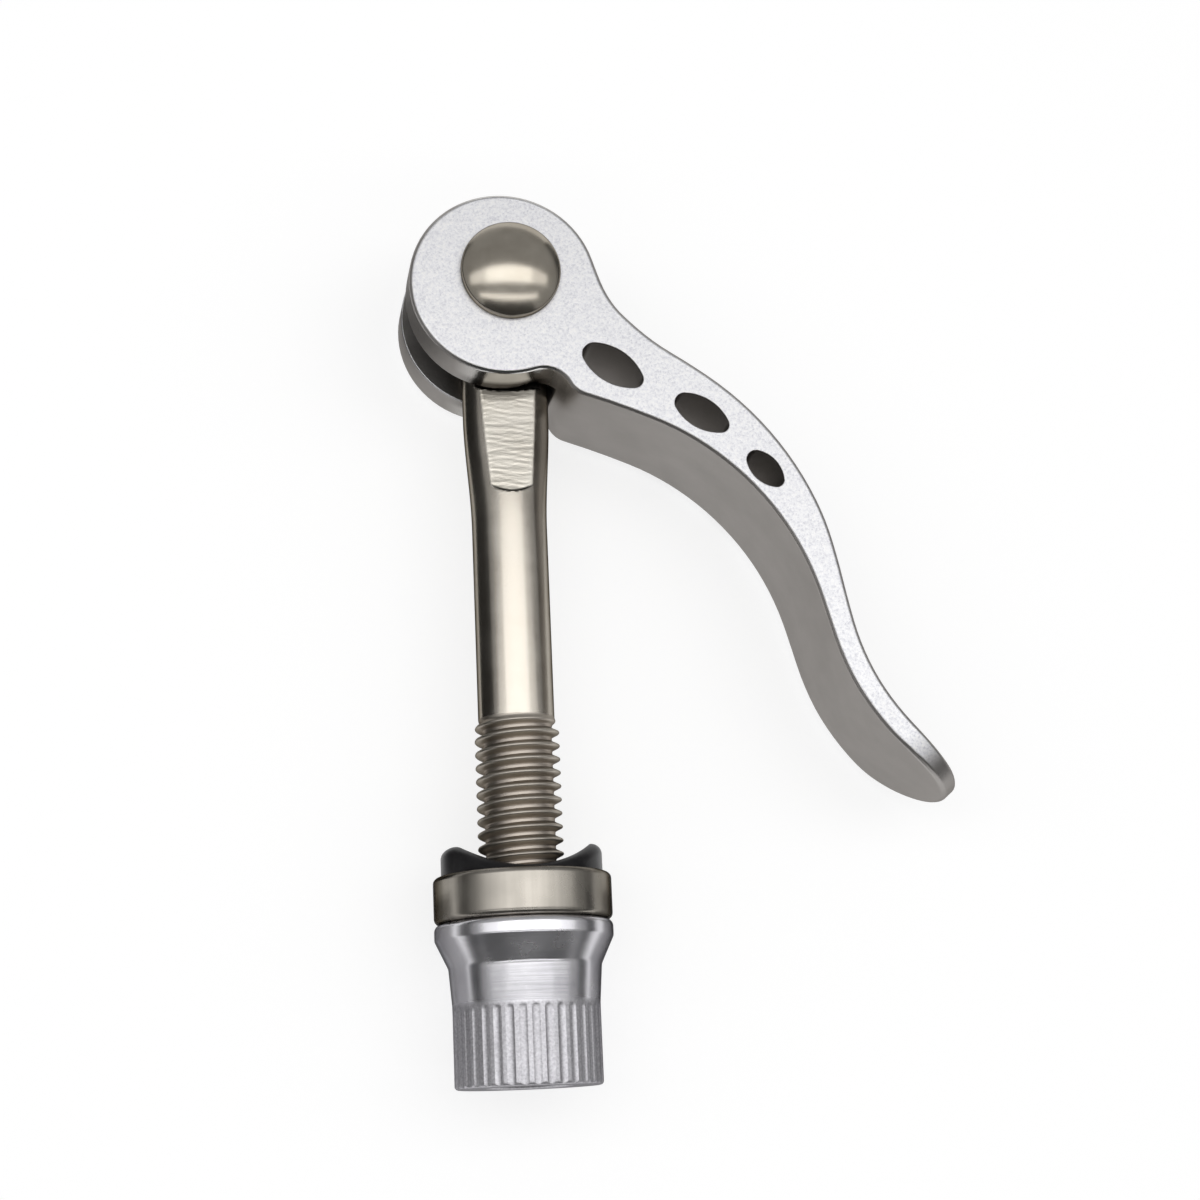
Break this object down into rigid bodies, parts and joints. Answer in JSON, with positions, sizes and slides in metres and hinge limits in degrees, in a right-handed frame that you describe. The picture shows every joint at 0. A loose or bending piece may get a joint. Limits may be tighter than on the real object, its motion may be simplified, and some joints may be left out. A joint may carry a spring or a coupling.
{
  "type": "quick release seatpost clamp bolt",
  "caption": "Quick release binder for a seatpost clamp: a cam lever pinned to an eye bolt, with a hollow saddle washer in a cup and a fluted nut on the thread.",
  "frame": {"origin": "on the bolt's axis, at the middle of its plain shank", "axes": "+Y along the bolt towards the lever's head, +Z along the pivot pin towards its dome and up as the part lies, +X to the side the lever's arm folds to"},
  "size_m": [0.0507, 0.0826, 0.0193],
  "materials": {
    "lever_alloy": "tumbled, fine sparkling grain on the faces, satin along the edges",
    "polished_nickel": "polished nickel plate on steel",
    "nickel": "bright nickel plate on steel",
    "black_plastic": "satin black moulded plastic",
    "nut_alloy": "bright turned aluminium"
  },
  "bodies": {
    "bolt": {"eye_bolt": "nickel"},
    "lever": {"cam_lever": "lever_alloy", "pivot_pin": "polished_nickel"},
    "washers": {"cup_washer": "nickel", "saddle_washer": "black_plastic"},
    "nut": {"fluted_nut": "nut_alloy"}
  },
  "joints": [
    {"name": "lever_pivot", "type": "hinge", "parent": "bolt", "child": "lever", "pos_m": [0, 0.031, 0], "axis": [0, 0, 1], "range_deg": [0, 180]},
    {"name": "washer_slide", "type": "slide", "parent": "bolt", "child": "washers", "axis": [0, 1, 0], "range_m": [0, 0.039]},
    {"name": "nut_turn", "type": "hinge", "parent": "bolt", "child": "nut", "pos_m": [0, -0.0291, 0], "axis": [0, 1, 0], "continuous": true}
  ]
}
